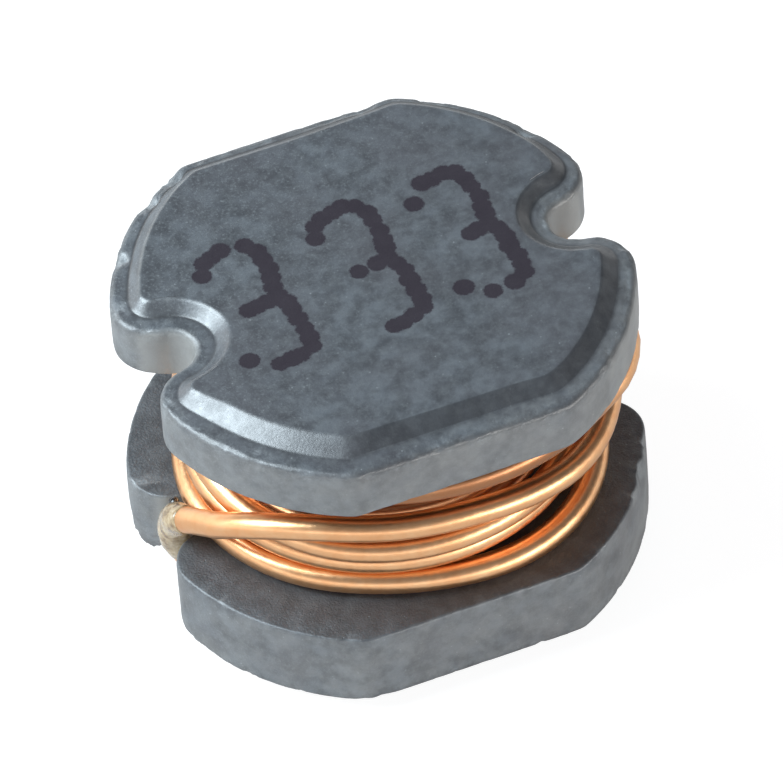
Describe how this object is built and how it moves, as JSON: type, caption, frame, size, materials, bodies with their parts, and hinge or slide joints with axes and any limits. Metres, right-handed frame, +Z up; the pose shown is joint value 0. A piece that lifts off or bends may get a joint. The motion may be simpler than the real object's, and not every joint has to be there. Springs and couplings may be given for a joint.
{
  "type": "unshielded smd inductor",
  "caption": "Surface-mount power inductor: a notched ferrite drum core wound with enamelled copper wire, its ends soldered to flat terminals underneath.",
  "frame": {"origin": "centre of the core's outline at the level of the terminal faces", "axes": "+X along the core's long axis from the notch with the finish lead to the notch with the start lead, +Y across the two flats, +Z up out of the circuit board"},
  "size_m": [0.0044, 0.004, 0.0031],
  "materials": {
    "ferrite": "matt grey nickel-zinc ferrite, pressed and fired",
    "enamelled_copper": "copper wire under clear polyurethane enamel",
    "tinned_metal": "silver metallising plated with nickel and tin",
    "solder": "bright reflowed solder",
    "adhesive": "cured translucent tan resin"
  },
  "bodies": {
    "root": {"drum_core": "ferrite", "winding": "enamelled_copper", "terminal_left": "tinned_metal", "terminal_right": "tinned_metal", "solder_joint_left": "solder", "solder_joint_right": "solder", "adhesive_dab": "adhesive"}
  },
  "joints": []
}
